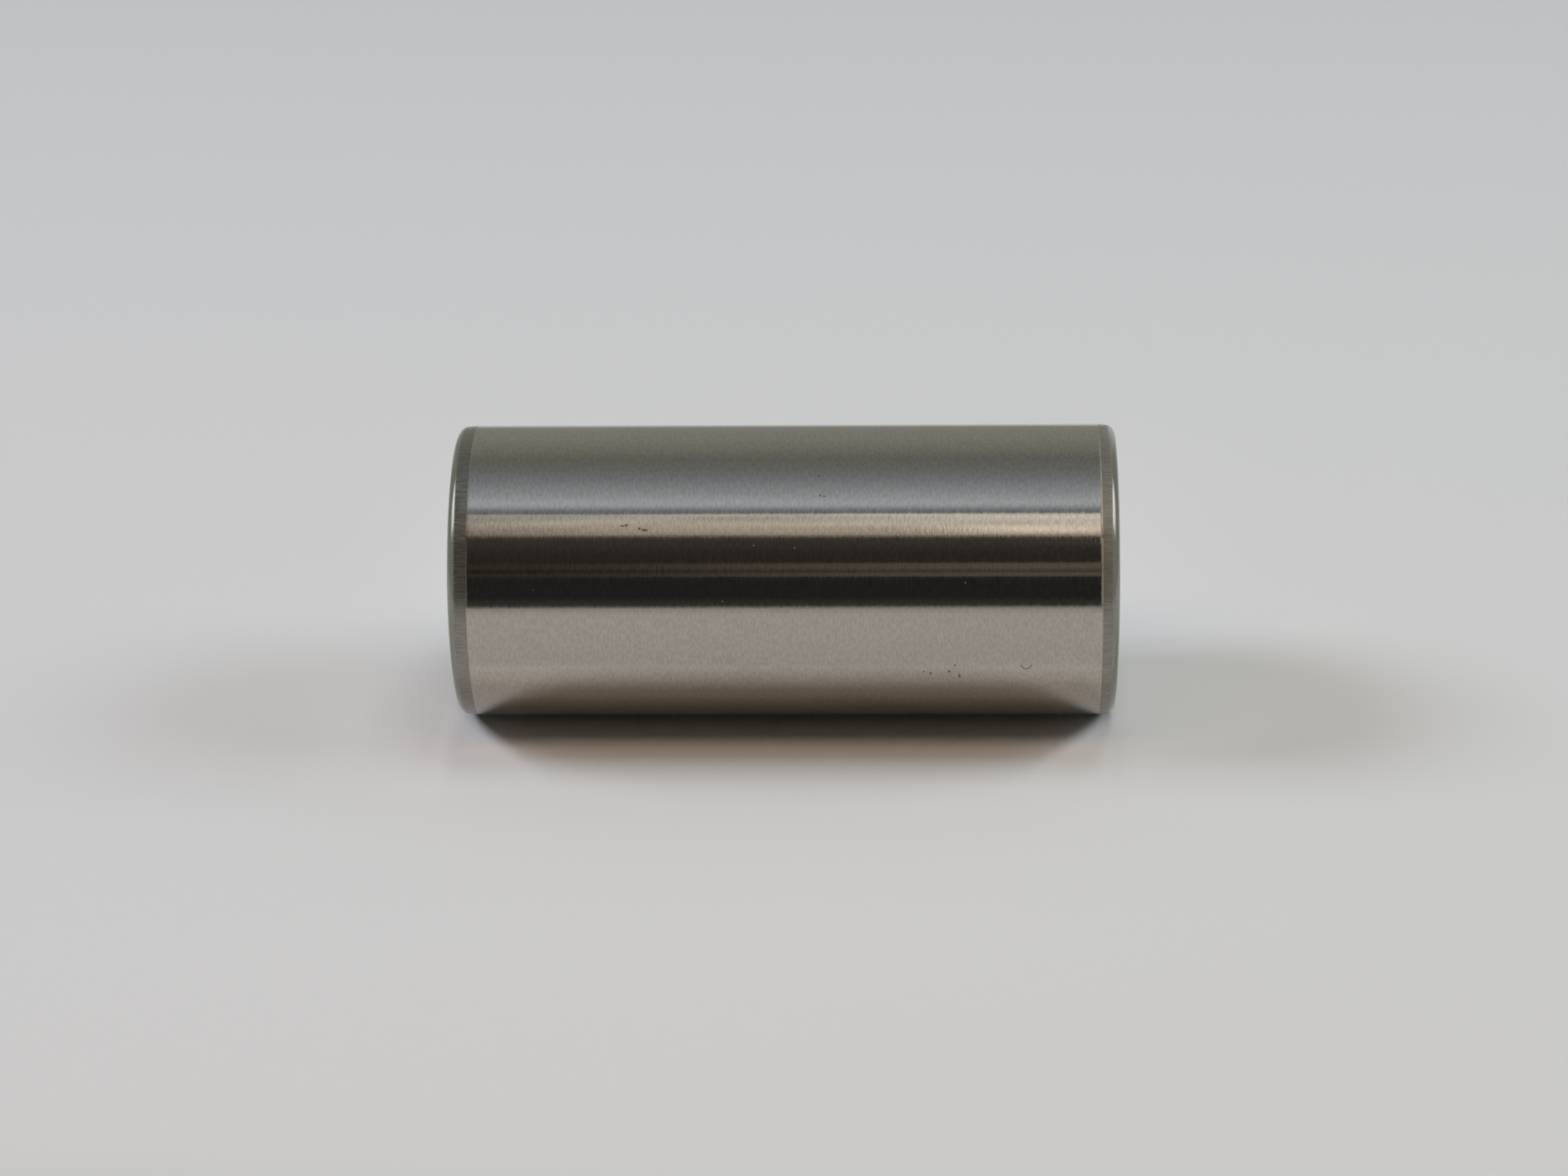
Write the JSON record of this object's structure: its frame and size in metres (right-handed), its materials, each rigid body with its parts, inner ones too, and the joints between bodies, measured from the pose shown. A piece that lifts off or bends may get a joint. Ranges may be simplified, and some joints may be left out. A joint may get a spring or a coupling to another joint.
{
  "type": "crank pin",
  "caption": "Solid cylindrical crank pin of hardened steel with eased ends, pressed between crank webs and running in a big-end needle bearing.",
  "frame": {"origin": "centre of the lower end face, the face that the pin stands on", "axes": "+Z along the pin's axis, from the lower end face to the upper one; the pin is round, so X and Y are free"},
  "size_m": [0.022, 0.022, 0.0496],
  "materials": {
    "ground_steel": "superfinished bearing surface, dull ground lead-ins, flat ground ends"
  },
  "bodies": {
    "root": {"crank_pin": "ground_steel"}
  },
  "joints": []
}
